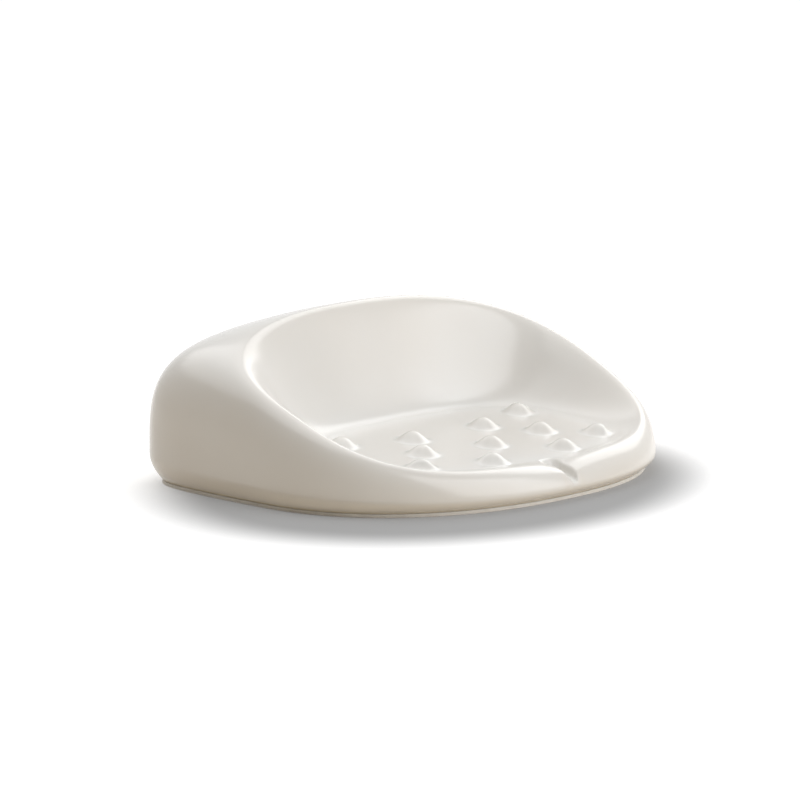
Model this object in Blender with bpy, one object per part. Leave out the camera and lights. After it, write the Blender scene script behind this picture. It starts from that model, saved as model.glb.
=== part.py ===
# Ceramic soap dish: a sloped one-piece glazed body, high at the back and low at the front,
# with a scooped tray, staggered drainage bumps and a drain groove through the front lip.
# The body is hollow from below and stands on a thin non-slip ring under its foot rim.
# Metres, +Z up. Origin at the middle of the footprint, on the surface the dish stands on.
# The front, with the drain groove, faces -Y. The dish is the same left and right of X = 0.

import math

import bmesh
import bpy
import numpy as np

mm = 0.001

# Overall form
body_width = 142.0 * mm
body_depth = 115.0 * mm
front_rim_height = 11.4 * mm
back_rim_height = 47.3 * mm
wall_thickness = 4.5 * mm

# Roundness of the outlines seen from above: 2 is an ellipse, more is squarer. Along the sides it
# changes from the front value to the back value, between two shares of the half depth
outer_front_power = 2.28
outer_back_power = 5.4
tray_front_power = 2.65
tray_back_power = 2.84
blend_start_share = -0.2
blend_end_share = 0.6

# Rim: how far its crest lies inside the widest outline, how it sinks towards the corners, and
# how the broad top behind it falls away to the back
rim_front_width = 7.3 * mm
rim_side_width = 7.1 * mm
rim_back_width = 26.9 * mm
front_corner_drop = 6.8 * mm
back_corner_drop = 5.1 * mm
corner_power = 2.2
rim_bow_share = 0.30
tray_taper_share = 0.10
back_top_fall = 6.8 * mm
back_top_ease_share = 0.12
front_shoulder_power = 1.8
back_shoulder_power = 3.7

# Tray: the floor falls to the front, and its walls sweep down to it
tray_lip_depth = 1.4 * mm
floor_fall = 5.8 * mm
tray_wall_front_run = 5.5 * mm
tray_wall_side_run = 18.0 * mm
tray_wall_back_run = 18.0 * mm
tray_wall_power = 2.0
front_crest_softness_share = 0.12
back_crest_softness_share = 0.60

# Foot: the outer wall tucks in below its widest level
widest_level_front = 4.0 * mm
widest_level_back = 9.5 * mm
foot_tuck = 2.8 * mm
foot_width = 6.0 * mm

# Non-slip ring under the foot
ring_thickness = 0.8 * mm
ring_margin = 0.6 * mm
seat_gap = 0.3 * mm

# Drainage bumps: rows that follow the bowed front, with every other row moved sideways
bump_width = 9.6 * mm
bump_height = 3.2 * mm
bump_sink = 1.2 * mm
bump_root = 1.5 * mm
bump_pitch = 25.0 * mm
odd_row_place_shares = (-1.5, -0.6, 0.6, 1.5)
even_row_place_shares = (-1.0, 0.0, 1.0)
bump_rows = 3
bump_row_pitch = 15.5 * mm
first_row_setback = 9.4 * mm
row_bow = 28.0 * mm

# Drain groove through the front lip
drain_depth = 3.0 * mm
drain_bottom_radius = 1.0 * mm
drain_reach_in = 11.0 * mm
drain_reach_out = 12.0 * mm
drain_height = 14.0 * mm
drain_fall = math.radians(14.0)
drain_flank = math.radians(42.0)

# How finely the form is divided
points_around = 76
outline_samples = 1441
base_steps = 4
shoulder_steps = 8
tray_wall_steps = 7
floor_steps = 3
crest_crowding_power = 1.4
hollow_steps = 9
hollow_samples = 41
bump_segments = 14
bump_bands = 8
groove_arc_steps = 4
smooth_angle = math.radians(50.0)

# Places worked out from the sizes
half_width = body_width / 2
half_depth = body_depth / 2
foot_level = ring_thickness + seat_gap
crest_half_width = half_width - rim_side_width
crest_front = -half_depth + rim_front_width
crest_back = half_depth - rim_back_width
tray_length = crest_back - crest_front
floor_half_width = crest_half_width - tray_wall_side_run
floor_front = crest_front + tray_wall_front_run
floor_back = crest_back - tray_wall_back_run
floor_middle = np.array([0.0, (floor_front + floor_back) / 2])
once_round = np.linspace(0.0, 2.0 * math.pi, outline_samples)


def clear_scene():
    for old in list(bpy.data.objects):
        bpy.data.objects.remove(old, do_unlink=True)


def new_collection(name):
    collection = bpy.data.collections.new(name)
    bpy.context.scene.collection.children.link(collection)
    return collection


def new_material(name, color, roughness, coat):
    material = bpy.data.materials.new(name)
    material.use_nodes = True
    shader = material.node_tree.nodes["Principled BSDF"]
    shader.inputs["Base Color"].default_value = (*color, 1.0)
    shader.inputs["Roughness"].default_value = roughness
    shader.inputs["Metallic"].default_value = 0.0
    shader.inputs["Coat Weight"].default_value = coat
    return material


def mesh_object(name, form, collection):
    mesh = bpy.data.meshes.new(name)
    form.to_mesh(mesh)
    form.free()
    mesh.shade_smooth()
    mesh.set_sharp_from_angle(angle=smooth_angle)
    made = bpy.data.objects.new(name, mesh)
    collection.objects.link(made)
    return made


def outline(turn, half_across, front, back, taper_share, front_power, back_power):
    """A rounded D seen from above: a superellipse, squarer at the back than at the front, that
    may widen towards the back. turn runs once round from the middle of the front."""
    across = np.sin(turn)
    along = -np.cos(turn)
    behind = np.clip((along - blend_start_share) / (blend_end_share - blend_start_share), 0.0, 1.0)
    behind = np.sin(math.pi / 2 * behind) ** 2
    power = 2.0 / (front_power + (back_power - front_power) * behind)
    y = (back - front) / 2 * np.sign(along) * np.abs(along) ** power
    x = (half_across + taper_share * y) * np.sign(across) * np.abs(across) ** power
    return np.column_stack([x, y + (front + back) / 2])


def outer_outline(turn, inset=0.0):
    return outline(turn, half_width - inset, -half_depth + inset, half_depth - inset, 0.0,
                   outer_front_power, outer_back_power)


def foot_outline(inset=0.0):
    return outer_outline(once_round, foot_tuck + inset)


def tray_outline(half_across, front, back):
    return outline(once_round, half_across, front, back, tray_taper_share, tray_front_power,
                   tray_back_power)


def back_share(y):
    """0 at the front of the rim's crest, 1 at its back."""
    return (y - crest_front) / tray_length


def crest_height(points):
    """The rim climbs in a bow from the front to the back, and sinks towards the corners."""
    share = back_share(points[:, 1])
    climb = (1.0 + rim_bow_share) * share - rim_bow_share * share ** 2
    corner_drop = front_corner_drop + (back_corner_drop - front_corner_drop) * share
    return (front_rim_height + (back_rim_height - front_rim_height) * climb
            - corner_drop * np.abs(points[:, 0] / crest_half_width) ** corner_power)


def floor_height(y):
    return front_rim_height - tray_lip_depth + floor_fall * back_share(y)


class Sections:
    """Sections of the dish in every direction from the middle of the tray: over the shoulder
    from the widest outline to the crest, down the tray wall and along the floor."""

    def __init__(self):
        self.angles = self.spread_angles()
        self.directions = np.column_stack([np.sin(self.angles), -np.cos(self.angles)])
        self.widest_reach = self.reach(outer_outline(once_round))
        self.foot_reach = self.reach(foot_outline())
        crest_reach = self.reach(tray_outline(crest_half_width, crest_front, crest_back))
        self.floor = self.reach(tray_outline(floor_half_width, floor_front, floor_back))
        self.rim = self.widest_reach - crest_reach
        self.wall = crest_reach - self.floor
        self.hollow_start = self.widest_reach - self.reach(foot_outline(foot_width))
        depth_share = (self.place(0.0)[:, 1] + half_depth) / body_depth
        self.widest_level = (widest_level_front
                             + (widest_level_back - widest_level_front) * depth_share)
        self.fullness = (front_shoulder_power
                         + (back_shoulder_power - front_shoulder_power) * depth_share)
        self.top_fall = back_top_fall * depth_share ** 2
        crest = self.place(self.rim)
        self.crest_level = crest_height(crest)
        self.wall_height = self.crest_level - floor_height(crest[:, 1])
        self.softness = (front_crest_softness_share
                         + (back_crest_softness_share - front_crest_softness_share)
                         * np.clip(back_share(crest[:, 1]), 0.0, 1.0) ** 2)

    def spread_angles(self):
        """The directions that divide the widest outline evenly."""
        points = outer_outline(once_round)
        steps = np.linalg.norm(np.diff(points, axis=0), axis=1)
        length = np.concatenate([[0.0], np.cumsum(steps)])
        even = np.linspace(0.0, length[-1], points_around, endpoint=False)
        x, y = (outer_outline(np.interp(even, length, once_round)) - floor_middle).T
        return np.unwrap(np.arctan2(x, -y))

    def reach(self, points):
        """How far an outline lies from the middle of the tray in each direction."""
        x, y = (points - floor_middle).T
        directions = np.unwrap(np.arctan2(x, -y))
        return np.hypot(np.interp(self.angles, directions, x),
                        np.interp(self.angles, directions, y))

    def place(self, inward):
        """Where the points this far inward from the widest outline lie."""
        return floor_middle + self.directions * (self.widest_reach - inward)[:, None]

    def height(self, inward):
        """How high the upper surface is there."""
        outward = np.clip(1.0 - inward / self.rim, 0.0, 1.0)
        rise = (1.0 - outward ** self.fullness) ** (1.0 / self.fullness)
        eased_fall = (outward ** 2 * (1.0 + back_top_ease_share)
                      / (outward + back_top_ease_share))
        top = self.crest_level - self.top_fall * eased_fall
        shoulder = self.widest_level + (top - self.widest_level) * rise
        down = np.clip((inward - self.rim) / self.wall, 0.0, 1.0)
        eased = (np.hypot(down, self.softness) - self.softness) / (
            np.hypot(1.0, self.softness) - self.softness)
        tray = (floor_height(self.place(inward)[:, 1])
                + self.wall_height * np.clip(1.0 - eased, 0.0, 1.0) ** tray_wall_power)
        return np.where(inward < self.rim, shoulder, tray)

    def hollow_height(self, inward):
        """How high the hollow reaches there: a wall thickness clear of the upper surface."""
        heights = [self.height(inward + step)
                   - math.sqrt(max(wall_thickness ** 2 - step ** 2, 0.0))
                   for step in np.linspace(-wall_thickness, wall_thickness, hollow_samples)]
        return np.min(heights, axis=0)

    def ring(self, inward, level):
        return level_ring(self.place(inward), level)

    def upper_ring(self, inward):
        return self.ring(inward, self.height(inward))

    def hollow_ring(self, inward):
        return self.ring(inward, self.hollow_height(inward))


def level_ring(points, level):
    return np.column_stack([points, np.broadcast_to(level, len(points))])


def body_rings():
    """Rings of the body: outwards under the hollow, round the foot, up the outside, over the
    rim and inwards across the tray."""
    sections = Sections()
    to_floor = sections.rim + sections.wall
    rings = []
    for step in range(floor_steps - 1, 0, -1):
        rings.append(sections.hollow_ring(to_floor + sections.floor * step / floor_steps))
    for step in range(hollow_steps, -1, -1):
        span = to_floor - sections.hollow_start
        rings.append(sections.hollow_ring(sections.hollow_start + span * step / hollow_steps))
    rings.append(sections.ring(sections.hollow_start, foot_level))
    for step in range(base_steps + 1):
        up = step / base_steps
        inward = (sections.widest_reach - sections.foot_reach) * (1.0 - up) ** 2
        rings.append(sections.ring(
            inward, foot_level + (sections.widest_level - foot_level) * up))
    for step in range(1, shoulder_steps + 1):
        swing = math.pi / 2 * (1.0 - step / shoulder_steps)
        rings.append(sections.upper_ring(
            sections.rim * (1.0 - math.sin(swing) ** (2.0 / sections.fullness))))
    for step in range(1, tray_wall_steps + 1):
        share = (step / tray_wall_steps) ** crest_crowding_power
        rings.append(sections.upper_ring(sections.rim + sections.wall * share))
    for step in range(1, floor_steps):
        rings.append(sections.upper_ring(to_floor + sections.floor * step / floor_steps))
    return rings


def body_form():
    """The rings joined into one closed surface, with a point in the middle at each end."""
    form = bmesh.new()
    rows = [[form.verts.new(point) for point in ring] for ring in body_rings()]
    floor_level = floor_height(floor_middle[1])
    hollow_end = form.verts.new((*floor_middle, floor_level - wall_thickness))
    floor_end = form.verts.new((*floor_middle, floor_level))
    for here in range(points_around):
        there = (here + 1) % points_around
        for lower, upper in zip(rows, rows[1:]):
            form.faces.new((lower[here], lower[there], upper[there], upper[here]))
        form.faces.new((hollow_end, rows[0][there], rows[0][here]))
        form.faces.new((floor_end, rows[-1][here], rows[-1][there]))
    bmesh.ops.recalc_face_normals(form, faces=form.faces)
    return form


def bump_places():
    """Middles of the bumps on the tray floor, row by row from the front."""
    for row in range(bump_rows):
        for share in even_row_place_shares if row % 2 else odd_row_place_shares:
            x = share * bump_pitch
            y = crest_front + first_row_setback + row * bump_row_pitch
            yield x, y + row_bow * (x / half_width) ** 2


def bumps_form():
    """Low domes whose roots are buried in the tray floor."""
    form = bmesh.new()
    for x, y in bump_places():
        middle = floor_height(y) - bump_sink
        made = bmesh.ops.create_uvsphere(form, u_segments=bump_segments,
                                         v_segments=bump_bands, radius=1.0)
        for vertex in made["verts"]:
            swell = bump_height + bump_sink if vertex.co.z > 0.0 else bump_root
            vertex.co.x = x + vertex.co.x * bump_width / 2
            vertex.co.y = y + vertex.co.y * bump_width / 2
            vertex.co.z = middle + vertex.co.z * swell
    return form


def flat_plate(name, outlines, thickness, collection):
    """A flat plate with these outlines, centred on its own thickness."""
    curve = bpy.data.curves.new(name, "CURVE")
    curve.dimensions = "2D"
    curve.fill_mode = "BOTH"
    curve.extrude = thickness / 2
    for points in outlines:
        spline = curve.splines.new("POLY")
        spline.points.add(len(points) - 1)
        for target, (x, y) in zip(spline.points, points):
            target.co = (x, y, 0.0, 1.0)
        spline.use_cyclic_u = True
    made = bpy.data.objects.new(name, curve)
    collection.objects.link(made)
    return made


def plate_as_mesh(plate, name, collection):
    """The same plate as a closed mesh, so that it can cut."""
    bpy.context.view_layer.update()
    evaluated = plate.evaluated_get(bpy.context.evaluated_depsgraph_get())
    flat = bpy.data.meshes.new_from_object(evaluated)
    form = bmesh.new()
    form.from_mesh(flat)
    bmesh.ops.remove_doubles(form, verts=form.verts, dist=seat_gap / 10)
    bmesh.ops.recalc_face_normals(form, faces=form.faces)
    made = mesh_object(name, form, collection)
    made.matrix_world = plate.matrix_world.copy()
    bpy.data.objects.remove(plate, do_unlink=True)
    bpy.data.meshes.remove(flat)
    return made


def drain_groove(collection):
    """A V with a rounded bottom that falls outwards through the front lip."""
    arc = [(drain_bottom_radius * math.sin(angle), drain_bottom_radius * (1.0 - math.cos(angle)))
           for angle in np.linspace(-drain_flank, drain_flank, groove_arc_steps + 1)]
    arc_x, arc_y = arc[-1]
    top_x = arc_x + (drain_height - arc_y) / math.tan(drain_flank)
    shape = [(-top_x, drain_height), *arc, (top_x, drain_height)]
    plate = flat_plate("drain_outline", [shape], drain_reach_in + drain_reach_out, collection)
    middle = (drain_reach_out - drain_reach_in) / 2
    plate.rotation_euler = (math.pi / 2 + drain_fall, 0.0, 0.0)
    plate.location = (0.0, crest_front - middle * math.cos(drain_fall),
                      front_rim_height - drain_depth - middle * math.sin(drain_fall))
    return plate_as_mesh(plate, "drain_groove", collection)


def non_slip_ring(collection, material):
    sections = Sections()
    outlines = []
    for inset in (ring_margin, foot_width - ring_margin):
        outlines.append(sections.place(
            sections.widest_reach - sections.reach(foot_outline(inset))))
    ring = flat_plate("non_slip_ring", outlines, ring_thickness, collection)
    ring.location = (0.0, 0.0, ring_thickness / 2)
    ring.data.materials.append(material)


def dish_body(collection, cutters, material):
    body = mesh_object("dish_body", body_form(), collection)
    body.data.materials.append(material)
    bumps = mesh_object("tray_bumps", bumps_form(), cutters)
    for tool, operation in ((bumps, "UNION"), (drain_groove(cutters), "DIFFERENCE")):
        modifier = body.modifiers.new(tool.name, "BOOLEAN")
        modifier.operation = operation
        modifier.solver = "EXACT"
        modifier.object = tool
        tool.hide_render = True
        tool.display_type = "WIRE"


def build():
    clear_scene()
    parts = new_collection("soap_dish")
    cutters = new_collection("soap_dish_cutters")
    dish_body(parts, cutters, new_material("white_glaze", (0.86, 0.84, 0.80), 0.12, 0.6))
    non_slip_ring(parts, new_material("pale_rubber", (0.78, 0.77, 0.73), 0.55, 0.0))


build()
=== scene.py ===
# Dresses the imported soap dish: the glazed body with its bumps and drain groove, the non-slip ring
# under its foot, a pale floor, soft studio light and the camera.
# Shapes are worked out in millimetres and written in metres. The front is at -Y.

import math

import bpy
import numpy as np
from mathutils import Matrix


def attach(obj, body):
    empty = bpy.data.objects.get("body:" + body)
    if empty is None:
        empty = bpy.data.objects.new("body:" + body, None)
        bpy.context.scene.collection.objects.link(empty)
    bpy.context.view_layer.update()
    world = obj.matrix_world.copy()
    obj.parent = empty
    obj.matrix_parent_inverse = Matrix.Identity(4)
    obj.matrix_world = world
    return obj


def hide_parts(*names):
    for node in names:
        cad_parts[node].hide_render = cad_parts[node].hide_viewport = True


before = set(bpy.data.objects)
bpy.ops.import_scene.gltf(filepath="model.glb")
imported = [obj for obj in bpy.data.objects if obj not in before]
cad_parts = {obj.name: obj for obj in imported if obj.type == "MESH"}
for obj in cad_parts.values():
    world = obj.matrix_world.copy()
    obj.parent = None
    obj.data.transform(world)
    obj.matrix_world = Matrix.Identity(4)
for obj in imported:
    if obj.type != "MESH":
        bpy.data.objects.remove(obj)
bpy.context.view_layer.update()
mm = 0.001
print("soap dish: frame loaded")


# Glazed body

dish = {
    "width": 142.0,
    "depth": 115.0,
    "wall": 4.5,                         # thickness of the casting
    "outerPowers": (2.28, 5.4),          # squareness at the front and back: 2 is an ellipse
    "trayPowers": (2.65, 2.84),
    "powerBlend": (-0.2, 0.6),           # shares of the half depth between which it changes
    "trayTaper": 0.10,                   # how much the tray widens to the back
    "rimWidths": (7.3, 7.1, 26.9),       # front, side, back
    "rimHeights": (11.4, 47.3),          # front, back
    "rimBow": 0.30,                      # how much the rim's climb bows upwards
    "cornerDrops": (6.8, 5.1),           # how far the rim sinks to the sides: front, back
    "cornerPower": 2.2,                  # more keeps that drop closer to the sides
    "lipSag": 1.2,                       # how far the front lip dips towards the drain groove
    "lipSagWidth": 14.0,                 # to each side
    "backTopFall": 6.8,                  # how far the broad back top falls outwards
    "backTopEase": 0.12,                 # how softly it rolls over its crest
    "shoulderPowers": (1.8, 3.7),        # squareness of the shoulder: front, back
    "widestLevels": (4.0, 9.5),          # height at which the body is widest: front, back
    "lipDepth": 1.4,                     # of the tray floor below the front of the rim
    "floorFall": 5.8,                    # of the tray floor from back to front
    "wallRuns": (5.5, 18.0, 18.0),       # width of the tray wall from above: front, side, back
    "wallPower": 2.0,                    # more makes it steep at the crest and flat at its foot
    "crestSoftness": (0.12, 0.60),       # of the rim's inner edge: front, back
    "footLevel": 1.1,
    "footTuck": 2.8,                     # how far the foot lies in from the widest outline
    "footWidth": 6.0,
    "footEdge": 0.4,                     # rounding of the foot's edges
    "outlineSteps": 14400,               # fine steps round an outline, where points are looked up
    "ballSteps": 60,                     # steps across the ball that finds the hollow
    "around": 444,                       # points round the body
    "frontCrowding": 5.0,                # how much closer they lie at the drain groove
    "frontCrowdingWidth": 7.0,           # to each side
    "underRings": 12,                    # rings of points under the tray floor,
    "hollowRings": 34,                   # down the hollow to the foot,
    "edgeRings": 5,                      # round each edge of the foot,
    "sideRings": 12,                     # up the side,
    "shoulderRings": 40,                 # over the shoulder,
    "wallRings": 42,                     # down the tray wall
    "floorRings": 60,                    # and in along the tray floor
    "wallCrowding": 1.25,                # more brings the wall's rings closer to the crest
}

bumps = {
    "width": 11.0,                       # out to where a bump has sunk into the floor
    "height": 2.8,
    "crown": 2.0,                        # more makes the top flatter
    "foot": 1.9,                         # more makes the root softer
    "rows": 3,
    "oddPlaces": (-1.5, -0.6, 0.6, 1.5),   # in the first and third row, as shares of the pitch
    "evenPlaces": (-1.0, 0.0, 1.0),      # in the second row
    "pitch": 25.0,
    "rowPitch": 15.5,
    "setback": 9.4,                      # of the first row behind the front of the rim's crest
    "rowBow": 28.0,                      # how far a row would bend back at the body's side
    "wallShare": 0.6,                    # share of the tray wall that stays free of them
}

drain = {
    "depth": 4.7,                        # of its bottom line below the front of the rim
    "fall": math.radians(12.0),
    "slotWidth": 1.9,                    # half width of the narrow slot at its bottom
    "slotDepth": 2.7,
    "flareWidth": 8.0,                   # half width of the shallow flare above it
    "flareDepth": 2.6,
    "insideRise": 0.14,                  # how fast it runs out onto the tray floor
    "insideSpread": 0.28,                # how fast the slot opens there
    "sideReach": 16.0,                   # beyond this far to the side the rim is left whole
    "lipBlend": 1.0,                     # rounding of its edges
}

halfWidth = dish["width"] / 2
halfDepth = dish["depth"] / 2
crestHalfWidth = halfWidth - dish["rimWidths"][1]
crestFront = -halfDepth + dish["rimWidths"][0]
crestBack = halfDepth - dish["rimWidths"][2]
floorHalfWidth = crestHalfWidth - dish["wallRuns"][1]
floorFront = crestFront + dish["wallRuns"][0]
floorBack = crestBack - dish["wallRuns"][2]
floorMiddle = np.array([0.0, (floorFront + floorBack) / 2])
onceRound = np.linspace(0.0, 2.0 * math.pi, dish["outlineSteps"] + 1)


def between(pair, share):
    # straight mix of the front value and the back value
    return pair[0] + (pair[1] - pair[0]) * share


def roundedOutline(halfAcross, front, back, taper, powers):
    # superellipse: x = a sin(t)^(2/n), y = -b cos(t)^(2/n), with n blended along the sides and
    # a growing with y by the taper
    across, along = np.sin(onceRound), -np.cos(onceRound)
    start, end = dish["powerBlend"]
    swing = np.clip((along - start) / (end - start), 0.0, 1.0) * math.pi / 2
    power = 2.0 / between(powers, np.sin(swing) ** 2)
    y = (back - front) / 2 * np.sign(along) * np.abs(along) ** power
    x = (halfAcross + taper * y) * np.sign(across) * np.abs(across) ** power
    return np.stack([x, y + (front + back) / 2], axis=-1)


def bodyOutline(inset=0.0):
    # the widest outline, drawn in by the inset on every side
    return roundedOutline(halfWidth - inset, inset - halfDepth, halfDepth - inset, 0.0,
                          dish["outerPowers"])


def trayOutline(halfAcross, front, back):
    # the tray's outline, a little wider to the back
    return roundedOutline(halfAcross, front, back, dish["trayTaper"], dish["trayPowers"])


def directionsOf(points):
    # the angle of each point seen from the tray's middle, from 0 at the front and once round
    return np.unwrap(np.arctan2(points[:, 0], floorMiddle[1] - points[:, 1]))


def spreadAngles(count):
    # equal steps of a running length in which the stretch at the drain groove counts extra
    line = bodyOutline()
    middle = (line[1:] + line[:-1]) / 2
    extra = np.exp(-(middle[:, 0] / dish["frontCrowdingWidth"]) ** 2) * (middle[:, 1] < 0.0)
    steps = np.linalg.norm(np.diff(line, axis=0), axis=1) * (1.0 + dish["frontCrowding"] * extra)
    length = np.concatenate([[0.0], np.cumsum(steps)])
    return np.interp(np.arange(count) / count * length[-1], length, directionsOf(line))


def reachOf(points):
    # how far an outline lies from the tray's middle in each of the body's directions
    found = directionsOf(points)
    return np.hypot(np.interp(angles, found, points[:, 0]),
                    np.interp(angles, found, points[:, 1] - floorMiddle[1]))


def backShare(y):
    # 0 at the front of the rim's crest, 1 at its back
    return (y - crestFront) / (crestBack - crestFront)


def crestLevels(points):
    # the rim climbs as (1 + bow) s - bow s^2, sinks to the sides as |x|^power, and its front
    # half dips by sag exp(-(x / width)^2) towards the groove
    share = backShare(points[..., 1])
    climb = (1.0 + dish["rimBow"]) * share - dish["rimBow"] * share ** 2
    sideShare = np.abs(points[..., 0] / crestHalfWidth)
    sag = np.exp(-(points[..., 0] / dish["lipSagWidth"]) ** 2) * (share < 0.5)
    return (between(dish["rimHeights"], climb) - dish["lipSag"] * sag
            - between(dish["cornerDrops"], share) * sideShare ** dish["cornerPower"])


def floorLevels(y):
    # the tray floor, a plane that falls to the front
    return dish["rimHeights"][0] - dish["lipDepth"] + dish["floorFall"] * backShare(y)


angles = spreadAngles(dish["around"])
directions = np.stack([np.sin(angles), -np.cos(angles)], axis=-1)
widestReach = reachOf(bodyOutline())
crestReach = reachOf(trayOutline(crestHalfWidth, crestFront, crestBack))
floorReach = reachOf(trayOutline(floorHalfWidth, floorFront, floorBack))
rimRun = widestReach - crestReach
wallRun = crestReach - floorReach


def placeAt(inward):
    # this far inward from the widest outline, on straight lines to the tray's middle
    return floorMiddle + directions * (widestReach - inward)[..., None]


depthShare = (placeAt(0.0)[:, 1] + halfDepth) / dish["depth"]
widestLevel = between(dish["widestLevels"], depthShare)
fullness = between(dish["shoulderPowers"], depthShare)
topFall = dish["backTopFall"] * depthShare ** 2
crest = placeAt(rimRun)
crestLevel = crestLevels(crest)
wallHeight = crestLevel - floorLevels(crest[:, 1])
softness = between(dish["crestSoftness"], np.clip(backShare(crest[:, 1]), 0.0, 1.0) ** 2)


def heightAt(inward):
    # shoulder: a superellipse up to a top that falls outwards as s^2 (1 + ease) / (s + ease),
    # where s is 0 at the crest and 1 at the widest outline
    # tray wall: height (1 - s)^power down to the floor, where s is 0 at the crest and 1 at the
    # floor, and a hyperbola rounds off its start
    outward = np.clip(1.0 - inward / rimRun, 0.0, 1.0)
    rise = (1.0 - outward ** fullness) ** (1.0 / fullness)
    ease = dish["backTopEase"]
    top = crestLevel - topFall * outward ** 2 * (1.0 + ease) / (outward + ease)
    shoulder = widestLevel + (top - widestLevel) * rise
    down = np.clip((inward - rimRun) / wallRun, 0.0, 1.0)
    eased = (np.hypot(down, softness) - softness) / (np.hypot(1.0, softness) - softness)
    tray = (floorLevels(placeAt(inward)[..., 1])
            + wallHeight * np.clip(1.0 - eased, 0.0, 1.0) ** dish["wallPower"])
    return np.where(inward < rimRun, shoulder, tray)


def hollowAt(inward):
    # a ball as large as the wall is thick rolls along the upper surface, and the hollow lies
    # under it: the least of height - sqrt(wall^2 - step^2) over steps to both sides
    wall = dish["wall"]
    reach = np.linspace(-wall, wall, dish["ballSteps"] + 1)
    heights = [heightAt(inward + step) - math.sqrt(max(wall ** 2 - step ** 2, 0.0))
               for step in reach]
    return np.min(heights, axis=0)


def softMin(first, second, blend):
    # the smaller of two heights, rounded off where they are closer than the blend
    return (np.minimum(first, second)
            - np.maximum(blend - np.abs(first - second), 0.0) ** 2 / (4.0 * blend))


def bumpPlaces():
    # rows that follow the bowed front, every other row moved sideways
    places = []
    for row in range(bumps["rows"]):
        for share in bumps["evenPlaces"] if row % 2 else bumps["oddPlaces"]:
            x = share * bumps["pitch"]
            y = crestFront + bumps["setback"] + row * bumps["rowPitch"]
            places.append((x, y + bumps["rowBow"] * (x / halfWidth) ** 2))
    return places


def bumpRadius(x, y):
    # distance to the nearest bump's middle, as a share of its half width
    apart = [np.hypot(x - bumpX, y - bumpY) for bumpX, bumpY in bumpPlaces()]
    return np.min(apart, axis=0) / (bumps["width"] / 2)


def bumpLift(x, y):
    # each bump rises as h (1 - r^crown)^foot
    inside = np.maximum(1.0 - bumpRadius(x, y) ** bumps["crown"], 0.0)
    return bumps["height"] * inside ** bumps["foot"]


def bumpRoom(fromMiddle):
    # 0 on the part of the tray wall that stays free of bumps, then evenly up to 1 at the floor
    down = (crestReach - fromMiddle) / wallRun
    return np.clip((down - bumps["wallShare"]) / (1.0 - bumps["wallShare"]), 0.0, 1.0)


def drainLevels(x, y):
    # a bottom line that falls outwards and rises as y^2 behind the lip, above it a narrow slot
    # as 1 - exp(-(x / width)^4), which opens inwards, and a wide shallow flare as
    # 1 - exp(-(x / width)^2); past the side reach it climbs out of the rim's way
    behind = np.maximum(y - crestFront, 0.0)
    bottom = (dish["rimHeights"][0] - drain["depth"] + drain["insideRise"] * behind ** 2
              - (crestFront - y) * math.tan(drain["fall"]))
    width = drain["slotWidth"] * (1.0 + drain["insideSpread"] * behind)
    slot = drain["slotDepth"] * (1.0 - np.exp(-(x / width) ** 4))
    flare = drain["flareDepth"] * (1.0 - np.exp(-(x / drain["flareWidth"]) ** 2))
    return bottom + slot + flare + np.maximum(np.abs(x) - drain["sideReach"], 0.0)


def ringsAt(points, levels):
    # outlines with their heights
    levels = np.broadcast_to(levels, points.shape[:-1])
    return np.concatenate([points, levels[..., None]], axis=-1)


def upperSurface(inward):
    # the plain form with the bumps added and, on the front half, the drain groove taken out
    place = placeAt(inward)
    x, y = place[..., 0], place[..., 1]
    level = heightAt(inward) + bumpLift(x, y) * bumpRoom(widestReach - inward)
    cut = softMin(level, drainLevels(x, y), drain["lipBlend"])
    return ringsAt(place, np.where(y < floorMiddle[1], cut, level))


def footReach(inset):
    # the reach of the foot's outline, drawn in by the inset
    return reachOf(bodyOutline(dish["footTuck"] + inset))


def stepsTo(count):
    # equal steps up to 1, one for each ring
    return (np.arange(1, count + 1) / count)[:, None]


def hollowRings():
    # from the tray's middle outwards under the floor, then down to the foot's inner edge
    toFloor = rimRun + wallRun
    under = toFloor + floorReach * stepsTo(dish["underRings"])[-2::-1]
    start = widestReach - footReach(dish["footWidth"])
    back = np.linspace(1.0, 0.0, dish["hollowRings"])[:, None]
    inward = np.concatenate([under, start + (toFloor - start) * back])
    return ringsAt(placeAt(inward), hollowAt(inward))


def footRings():
    # a flat foot whose inner and outer edges are quarter circles
    edge = dish["footEdge"]
    swing = np.linspace(0.0, math.pi / 2, dish["edgeRings"])
    drop = edge * (1.0 - np.cos(swing))
    insets = np.concatenate([dish["footWidth"] - drop, drop[::-1]])
    levels = dish["footLevel"] + edge * (1.0 - np.sin(np.concatenate([swing, swing[::-1]])))
    return np.stack([ringsAt(placeAt(widestReach - footReach(inset)), level)
                     for inset, level in zip(insets, levels)])


def sideRings():
    # the outer wall swells from the foot to the widest level as a parabola
    start = dish["footLevel"] + dish["footEdge"]
    up = stepsTo(dish["sideRings"])
    inward = (widestReach - footReach(0.0)) * (1.0 - up) ** 2
    return ringsAt(placeAt(inward), start + (widestLevel - start) * up)


def upperRings():
    # over the shoulder by equal angles, down the tray wall and in along the floor
    swing = math.pi / 2 * (1.0 - stepsTo(dish["shoulderRings"]))
    shoulder = rimRun * (1.0 - np.sin(swing) ** (2.0 / fullness))
    wall = rimRun + wallRun * stepsTo(dish["wallRings"]) ** dish["wallCrowding"]
    floor = rimRun + wallRun + floorReach * stepsTo(dish["floorRings"])[:-1]
    return upperSurface(np.concatenate([shoulder, wall, floor]))


def facesBetween(rows, nextRows, around):
    # four-sided faces from each closed ring of points to the next one
    here = np.arange(around)
    there = (here + 1) % around
    return np.stack([rows + here, rows + there, nextRows + there, nextRows + here],
                    axis=-1).reshape(-1, 4)


def addToScene(name, data):
    made = bpy.data.objects.new(name, data)
    bpy.context.scene.collection.objects.link(made)
    return made


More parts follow.
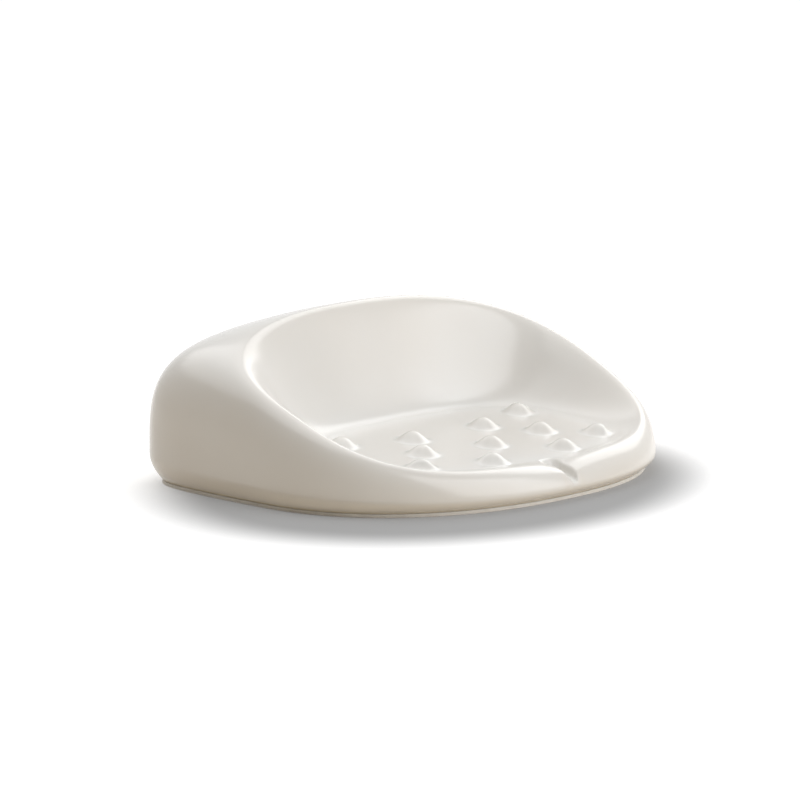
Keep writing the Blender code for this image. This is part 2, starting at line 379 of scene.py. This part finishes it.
def fillMesh(name, points, quads, triangles=np.zeros((0, 3), int)):
    # writes whole arrays of points, four-sided faces and triangles into a new mesh
    mesh = bpy.data.meshes.new(name)
    mesh.vertices.add(len(points))
    mesh.vertices.foreach_set("co", points.astype(np.float32).ravel())
    corners = np.concatenate([quads.ravel(), triangles.ravel()]).astype(np.int32)
    sizes = np.concatenate([np.full(len(quads), 4), np.full(len(triangles), 3)])
    starts = np.concatenate([[0], np.cumsum(sizes)[:-1]]).astype(np.int32)
    mesh.loops.add(len(corners))
    mesh.loops.foreach_set("vertex_index", corners)
    mesh.polygons.add(len(sizes))
    mesh.polygons.foreach_set("loop_start", starts)
    mesh.update(calc_edges=True)
    mesh.validate()
    mesh.shade_smooth()
    return addToScene(name, mesh)


def closedMesh(name, rings, firstPole, lastPole):
    # rings joined by four-sided faces, with a fan of triangles to the pole at each end
    count, around = rings.shape[:2]
    points = np.concatenate([rings.reshape(-1, 3), [firstPole, lastPole]]) * mm
    rows = (np.arange(count - 1) * around)[:, None]
    here = np.arange(around)
    there = (here + 1) % around
    lastRow = (count - 1) * around
    first, last = np.full(around, count * around), np.full(around, count * around + 1)
    fans = np.concatenate([np.stack([first, there, here], axis=-1),
                           np.stack([last, lastRow + here, lastRow + there], axis=-1)])
    return fillMesh(name, points, facesBetween(rows, rows + around, around), fans)


def setAttribute(made, name, values):
    # a number at each point of the mesh, for its material to read
    attribute = made.data.attributes.new(name, "FLOAT", "POINT")
    attribute.data.foreach_set("value", values.astype(np.float32))


glazeFlow = {
    "crestWidth": 1.6,                   # of the thin line along the rim's crest
    "crestSpread": 0.12,                 # how much it widens with the rim
    "crestShare": 0.8,
    "topShare": 0.45,                    # share of a bump's half width that is thin
    "edgePlace": 3.4,                    # of the groove's thin edges, out from its middle
    "edgeWidth": 1.1,
    "edgeShare": 0.9,
    "edgeEnd": 4.0,                      # how far they run in behind the front of the crest
    "rootShare": 0.16,                   # width of the pool round a bump, of its half width
    "cornerWidth": 3.5,                  # of the pool where the tray wall meets its floor
    "cornerShare": 0.7,
    "grooveWidth": 1.3,
    "grooveEnd": 5.0,
}


def softBand(distance, width):
    # 1 in the band's middle, falling off as exp(-(distance / width)^2)
    return np.exp(-(distance / width) ** 2)


def glazeThinness(upper):
    # up to 1 where glaze runs thin: on the bumps' tops, and a little less on the rim's crest
    # and at the groove's edges
    x, y = upper[..., 0], upper[..., 1]
    fromMiddle = np.hypot(x, y - floorMiddle[1])
    crestWidth = glazeFlow["crestWidth"] + glazeFlow["crestSpread"] * rimRun
    atCrest = glazeFlow["crestShare"] * softBand(fromMiddle - crestReach, crestWidth)
    tops = bumpRoom(fromMiddle) * softBand(bumpRadius(x, y), glazeFlow["topShare"])
    atGroove = softBand(np.abs(x) - glazeFlow["edgePlace"], glazeFlow["edgeWidth"])
    onRim = (y < crestFront + glazeFlow["edgeEnd"]) * (upper[..., 2] > widestLevel)
    return np.maximum(np.maximum(atCrest, tops), glazeFlow["edgeShare"] * atGroove * onRim)


def glazePooling(upper):
    # up to 1 where glaze gathers: round the bumps' roots and in the groove, and less where the
    # tray wall meets its floor
    x, y = upper[..., 0], upper[..., 1]
    fromMiddle = np.hypot(x, y - floorMiddle[1])
    roots = bumpRoom(fromMiddle) * softBand(bumpRadius(x, y) - 1.0, glazeFlow["rootShare"])
    corner = glazeFlow["cornerShare"] * softBand(fromMiddle - floorReach,
                                                 glazeFlow["cornerWidth"])
    onRim = (y < crestFront + glazeFlow["grooveEnd"]) * (upper[..., 2] > widestLevel)
    groove = softBand(x, glazeFlow["grooveWidth"]) * onRim
    return np.maximum(np.maximum(roots, corner), groove)


def glazedDish():
    # the hollow, the foot, the side and the upper surface as one closed skin, with the numbers
    # that say where its glaze is thin, gathered or missing
    upper = upperRings()
    under, foot, side = hollowRings(), footRings(), sideRings()
    floorLevel = floorLevels(floorMiddle[1])
    made = closedMesh("glazed_dish", np.concatenate([under, foot, side, upper]),
                      (*floorMiddle, floorLevel - dish["wall"]), (*floorMiddle, floorLevel))
    before = np.zeros((len(under) + len(foot) + len(side)) * dish["around"])
    poles = np.zeros(2)
    for name, values in (("thinness", glazeThinness(upper)), ("pooling", glazePooling(upper))):
        setAttribute(made, name, np.concatenate([before, values.ravel(), poles]))
    bare = np.concatenate([np.zeros(len(under)), np.ones(len(foot)),
                           np.zeros(len(side) + len(upper))])
    setAttribute(made, "bareness", np.concatenate([np.repeat(bare, dish["around"]), poles]))
    return made


glazedBody = glazedDish()
print("soap dish: glazed body,", len(glazedBody.data.vertices), "points")


# Non-slip ring

ringSizes = {
    "thickness": 1.05,
    "margin": 0.1,                       # how far it lies in from both edges of the foot
    "edge": 0.22,                        # rounding of its four edges
    "edgePoints": 6,
}


def nonSlipRing():
    # a flat strip whose four edges are quarter circles, carried round under the foot
    edge, thickness = ringSizes["edge"], ringSizes["thickness"]
    width = dish["footWidth"] - 2 * ringSizes["margin"]
    far, high = width - edge, thickness - edge
    corners = np.array([[edge, edge, math.pi], [far, edge, 1.5 * math.pi], [far, high, 0.0],
                        [edge, high, 0.5 * math.pi]])
    swing = corners[:, 2:] + np.linspace(0.0, math.pi / 2, ringSizes["edgePoints"])
    across = (corners[:, 0:1] + edge * np.cos(swing)).ravel()
    up = (corners[:, 1:2] + edge * np.sin(swing)).ravel()
    outer = placeAt(widestReach - footReach(ringSizes["margin"]))
    inner = placeAt(widestReach - footReach(dish["footWidth"] - ringSizes["margin"]))
    rings = ringsAt(outer + (inner - outer) * (across / width)[:, None, None], up[:, None])
    rows = (np.arange(len(rings)) * dish["around"])[:, None]
    faces = facesBetween(np.roll(rows, -1, axis=0), rows, dish["around"])
    return fillMesh("rubber_ring", rings.reshape(-1, 3) * mm, faces)


rubberRing = nonSlipRing()
print("soap dish: non-slip ring")


# Materials

glaze = {
    "color": (0.82, 0.80, 0.76, 1.0),
    "warmColor": (0.80, 0.77, 0.72, 1.0),
    "thinColor": (0.79, 0.75, 0.69, 1.0),      # where it runs thin over edges
    "poolColor": (0.80, 0.80, 0.77, 1.0),      # where it gathers
    "bareColor": (0.70, 0.65, 0.56, 1.0),      # fired clay of the foot, wiped clean of glaze
    "thinShare": 0.45,
    "poolShare": 0.6,
    "cloudSpots": 1000.0 / 45.0,         # clouds a metre, each about 45 mm
    "cloudDetail": 3.0,
    "cloudRange": (0.35, 0.65),          # of the noise, from the one colour to the other
    "glossRange": (0.3, 0.7),            # of the same noise, from the one gloss to the other
    "roughness": (0.20, 0.27),
    "bareRoughness": 0.85,
    "skinSpots": 160.0,                  # ripples a metre in the glaze's skin
    "skinDetail": 2.0,
    "skinStrength": 0.12,
    "skinDepth": 0.0004,
    "coat": 0.4,
    "coatRoughness": 0.16,
    "refraction": 1.5,
}

rubber = {
    "color": (0.88, 0.87, 0.84, 1.0),
    "dustColor": (0.80, 0.78, 0.74, 1.0),
    "dustSpots": 260.0,                  # a metre
    "dustDetail": 4.0,
    "dustRange": (0.45, 0.75),
    "grainSpots": 2600.0,
    "grainDetail": 2.0,
    "grainStrength": 0.3,
    "grainDepth": 0.0001,
    "roughness": 0.5,
}

white = (1.0, 1.0, 1.0, 1.0)
black = (0.0, 0.0, 0.0, 1.0)


def newMaterial(name):
    material = bpy.data.materials.new(name)
    material.use_nodes = True
    return material, material.node_tree, material.node_tree.nodes["Principled BSDF"]


def feed(tree, value, socket):
    # links another node's output to the socket, or sets a plain number or colour on it
    if isinstance(value, bpy.types.NodeSocket):
        tree.links.new(value, socket)
    else:
        socket.default_value = value


def addNoise(tree, coordinates, scale, detail):
    # soft noise in the object's own coordinates; the scale is given in spots a metre
    noise = tree.nodes.new("ShaderNodeTexNoise")
    noise.inputs["Scale"].default_value = scale
    noise.inputs["Detail"].default_value = detail
    tree.links.new(coordinates, noise.inputs["Vector"])
    return noise.outputs["Fac"]


def addRange(tree, source, low, high, newLow, newHigh):
    # the first range stretched evenly onto the second, and held at its ends
    ranged = tree.nodes.new("ShaderNodeMapRange")
    ranged.inputs["From Min"].default_value = low
    ranged.inputs["From Max"].default_value = high
    ranged.inputs["To Min"].default_value = newLow
    ranged.inputs["To Max"].default_value = newHigh
    tree.links.new(source, ranged.inputs["Value"])
    return ranged.outputs["Result"]


def addMath(tree, operation, first, second):
    # one sum; either value may be a number or another node's output
    made = tree.nodes.new("ShaderNodeMath")
    made.operation = operation
    feed(tree, first, made.inputs[0])
    feed(tree, second, made.inputs[1])
    return made.outputs["Value"]


def addLength(tree, source):
    # how far a point lies from the origin
    length = tree.nodes.new("ShaderNodeVectorMath")
    length.operation = "LENGTH"
    tree.links.new(source, length.inputs[0])
    return length.outputs["Value"]


def addColorMix(tree, share, first, second):
    # the first colour where the share is 0, the second where it is 1
    mix = tree.nodes.new("ShaderNodeMix")
    mix.data_type = "RGBA"
    feed(tree, share, mix.inputs["Factor"])
    feed(tree, first, mix.inputs["A"])
    feed(tree, second, mix.inputs["B"])
    return mix.outputs["Result"]


def addBump(tree, shader, height, strength, depth):
    # dents the shader's surface by a noise; the depth is in metres
    bump = tree.nodes.new("ShaderNodeBump")
    bump.inputs["Strength"].default_value = strength
    bump.inputs["Distance"].default_value = depth
    tree.links.new(height, bump.inputs["Height"])
    tree.links.new(bump.outputs["Normal"], shader.inputs["Normal"])


def addAttribute(tree, name):
    # reads one of the mesh's own numbers
    attribute = tree.nodes.new("ShaderNodeAttribute")
    attribute.attribute_name = name
    return attribute.outputs["Fac"]


def whiteGlaze():
    # glossy warm white: faint clouds, thinner over edges, gathered in hollows, a bare foot
    material, tree, shader = newMaterial("white_glaze_fired")
    coordinates = tree.nodes.new("ShaderNodeTexCoord").outputs["Object"]
    clouds = addNoise(tree, coordinates, glaze["cloudSpots"], glaze["cloudDetail"])
    share = addRange(tree, clouds, *glaze["cloudRange"], 0.0, 1.0)
    color = addColorMix(tree, share, glaze["color"], glaze["warmColor"])
    thin = addMath(tree, "MULTIPLY", addAttribute(tree, "thinness"), glaze["thinShare"])
    pool = addMath(tree, "MULTIPLY", addAttribute(tree, "pooling"), glaze["poolShare"])
    bare = addAttribute(tree, "bareness")
    for share, layer in ((thin, "thinColor"), (pool, "poolColor"), (bare, "bareColor")):
        color = addColorMix(tree, share, color, glaze[layer])
    tree.links.new(color, shader.inputs["Base Color"])
    gloss = addRange(tree, clouds, *glaze["glossRange"], *glaze["roughness"])
    rough = addMath(tree, "MULTIPLY", bare, glaze["bareRoughness"])
    tree.links.new(addMath(tree, "MAXIMUM", gloss, rough), shader.inputs["Roughness"])
    skin = addNoise(tree, coordinates, glaze["skinSpots"], glaze["skinDetail"])
    addBump(tree, shader, skin, glaze["skinStrength"], glaze["skinDepth"])
    shader.inputs["Coat Weight"].default_value = glaze["coat"]
    shader.inputs["Coat Roughness"].default_value = glaze["coatRoughness"]
    shader.inputs["IOR"].default_value = glaze["refraction"]
    return material


def paleRubber():
    # matte rubber with a fine grain and a little dust
    material, tree, shader = newMaterial("pale_rubber_moulded")
    coordinates = tree.nodes.new("ShaderNodeTexCoord").outputs["Object"]
    dust = addNoise(tree, coordinates, rubber["dustSpots"], rubber["dustDetail"])
    share = addRange(tree, dust, *rubber["dustRange"], 0.0, 1.0)
    tree.links.new(addColorMix(tree, share, rubber["color"], rubber["dustColor"]),
                   shader.inputs["Base Color"])
    grain = addNoise(tree, coordinates, rubber["grainSpots"], rubber["grainDetail"])
    addBump(tree, shader, grain, rubber["grainStrength"], rubber["grainDepth"])
    shader.inputs["Roughness"].default_value = rubber["roughness"]
    return material


glazedBody.data.materials.append(whiteGlaze())
rubberRing.data.materials.append(paleRubber())
for piece, node, slot in ((glazedBody, "dish_body", "white_glaze"),
                          (rubberRing, "non_slip_ring", "pale_rubber")):
    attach(piece, "root")
    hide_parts(node)
print("soap dish: materials")


# Floor, light and camera

studio = {                               # places and sizes in metres
    "floorSize": 6.0,                    # from its middle to each side
    "floorRoughness": 0.9,
    "floorSeen": (0.70, 0.70, 0.70, 1.0),       # its colour as the camera sees it,
    "floorBounce": (0.85, 0.75, 0.61, 1.0),     # and where it only lights the dish
    "floorGlow": (0.58, 0.66),           # near the dish, far from it
    "glowReach": (0.12, 0.40),           # distances from the dish between which it changes
    "shadePlace": (-0.009, -0.010, 0.0),        # the soft contact shade is an ellipse
    "shadeTurn": math.radians(-74.6),
    "shadeReach": (0.086, 0.106, 1.0),
    "shadeEdge": 0.69,                   # share of the reach out to which it is full
    "shadeLevel": 0.34,                  # what is left of the light in it
    "worldColor": (1.0, 0.93, 0.84, 1.0),
    "worldStrength": 0.09,
    "lampTarget": (0.0, 0.0, 0.02),
    "topLight": {"power": 15.4, "color": (1.0, 1.0, 1.0), "size": 2.0, "place": (-0.1, 0.6, 1.3)},
    "sideLight": {"power": 2.8, "color": (1.0, 1.0, 1.0), "size": 0.7, "place": (1.0, 0.25, 0.75)},
    "frontLight": {"power": 23.2, "color": (0.97, 0.98, 1.0), "size": 1.8,
                   "place": (0.58, -1.47, 0.95)},
}

view = {
    "azimuth": math.radians(-47.0),
    "elevation": math.radians(11.0),
    "distance": 1450.0,                  # millimetres
    "pixelsPerMillimetre": 3.449,
    "originPixel": (426.8, 473.7),       # where the middle of the dish's footprint shows
    "frame": 800.0,                      # pixels across and down
}


def viewAxes():
    # the camera's right, up and backward directions from its azimuth and elevation
    azimuth, elevation = view["azimuth"], view["elevation"]
    back = np.array([math.sin(azimuth) * math.cos(elevation),
                     -math.cos(azimuth) * math.cos(elevation), math.sin(elevation)])
    right = np.array([math.cos(azimuth), math.sin(azimuth), 0.0])
    return right, np.cross(back, right), back


def aimAt(made, place, target):
    # puts the object at the place with its -Z axis towards the target
    back = np.array(place, float) - np.array(target, float)
    back = back / np.linalg.norm(back)
    right = np.cross([0.0, 0.0, 1.0], back)
    right = right / np.linalg.norm(right)
    up = np.cross(back, right)
    matrix = np.eye(4)
    matrix[:3, 0], matrix[:3, 1], matrix[:3, 2], matrix[:3, 3] = right, up, back, place
    made.matrix_world = Matrix(matrix.tolist())


def addCamera():
    # the lens gives the scale at the dish, and the target moves the origin to its pixel
    right, up, back = viewAxes()
    camera = addToScene("camera", bpy.data.cameras.new("camera"))
    camera.data.lens = (view["pixelsPerMillimetre"] * view["distance"] / view["frame"]
                        * camera.data.sensor_width)
    middle = view["frame"] / 2
    offsetX = (middle - view["originPixel"][0]) / view["pixelsPerMillimetre"]
    offsetY = (view["originPixel"][1] - middle) / view["pixelsPerMillimetre"]
    aimAt(camera, back * view["distance"] * mm, (right * offsetX + up * offsetY) * mm)
    bpy.context.scene.camera = camera


def addSeen(tree):
    # 1 where the camera sees the surface straight or mirrored, 0 where it only lights others
    path = tree.nodes.new("ShaderNodeLightPath")
    seen = addMath(tree, "ADD", path.outputs["Is Camera Ray"], path.outputs["Is Glossy Ray"])
    return addMath(tree, "MINIMUM", seen, 1.0)


def addShade(tree, coordinates):
    # a soft ellipse on the floor: its low level inside, eased up to 1 at its edge
    mapping = tree.nodes.new("ShaderNodeMapping")
    mapping.vector_type = "TEXTURE"
    mapping.inputs["Location"].default_value = studio["shadePlace"]
    mapping.inputs["Rotation"].default_value = (0.0, 0.0, studio["shadeTurn"])
    mapping.inputs["Scale"].default_value = studio["shadeReach"]
    tree.links.new(coordinates, mapping.inputs["Vector"])
    share = addLength(tree, mapping.outputs["Vector"])
    shade = addRange(tree, share, studio["shadeEdge"], 1.0, studio["shadeLevel"], 1.0)
    shade.node.interpolation_type = "SMOOTHSTEP"
    return shade


def addFloor():
    # a pale plane, softly shaded round the dish's foot; what the camera sees of it far away
    # glows up to white
    size = studio["floorSize"]
    corners = np.array([[-size, -size, 0.0], [size, -size, 0.0], [size, size, 0.0],
                        [-size, size, 0.0]])
    floor = fillMesh("floor", corners, np.array([[0, 1, 2, 3]]))
    material, tree, shader = newMaterial("floor_white")
    shader.inputs["Roughness"].default_value = studio["floorRoughness"]
    shader.inputs["Specular IOR Level"].default_value = 0.0
    shader.inputs["Emission Color"].default_value = white
    coordinates = tree.nodes.new("ShaderNodeTexCoord").outputs["Object"]
    shade, seen = addShade(tree, coordinates), addSeen(tree)
    shaded = addColorMix(tree, shade, black, studio["floorSeen"])
    tree.links.new(addColorMix(tree, seen, studio["floorBounce"], shaded),
                   shader.inputs["Base Color"])
    glow = addRange(tree, addLength(tree, coordinates), *studio["glowReach"],
                    *studio["floorGlow"])
    tree.links.new(addMath(tree, "MULTIPLY", addMath(tree, "MULTIPLY", glow, shade), seen),
                   shader.inputs["Emission Strength"])
    floor.data.materials.append(material)


def addWorld():
    # an even warm room; seen straight, or mirrored, it is white
    world = bpy.data.worlds.new("studio")
    world.use_nodes = True
    bpy.context.scene.world = world
    tree = world.node_tree
    room = tree.nodes["Background"]
    room.inputs["Color"].default_value = studio["worldColor"]
    room.inputs["Strength"].default_value = studio["worldStrength"]
    seenRoom = tree.nodes.new("ShaderNodeBackground")
    seenRoom.inputs["Color"].default_value = white
    seenRoom.inputs["Strength"].default_value = 1.0
    mix = tree.nodes.new("ShaderNodeMixShader")
    tree.links.new(addSeen(tree), mix.inputs[0])
    tree.links.new(room.outputs[0], mix.inputs[1])
    tree.links.new(seenRoom.outputs[0], mix.inputs[2])
    tree.links.new(mix.outputs[0], tree.nodes["World Output"].inputs["Surface"])


def addSoftbox(name):
    # a square lamp that faces the dish
    values = studio[name]
    light = bpy.data.lights.new(name, "AREA")
    light.shape = "SQUARE"
    light.size = values["size"]
    light.energy = values["power"]
    light.color = values["color"]
    aimAt(addToScene(name, light), values["place"], studio["lampTarget"])


addCamera()
addFloor()
addWorld()
for lamp in ("topLight", "sideLight", "frontLight"):
    addSoftbox(lamp)
bpy.context.scene.view_settings.view_transform = "Standard"
print("soap dish: floor, light and camera")
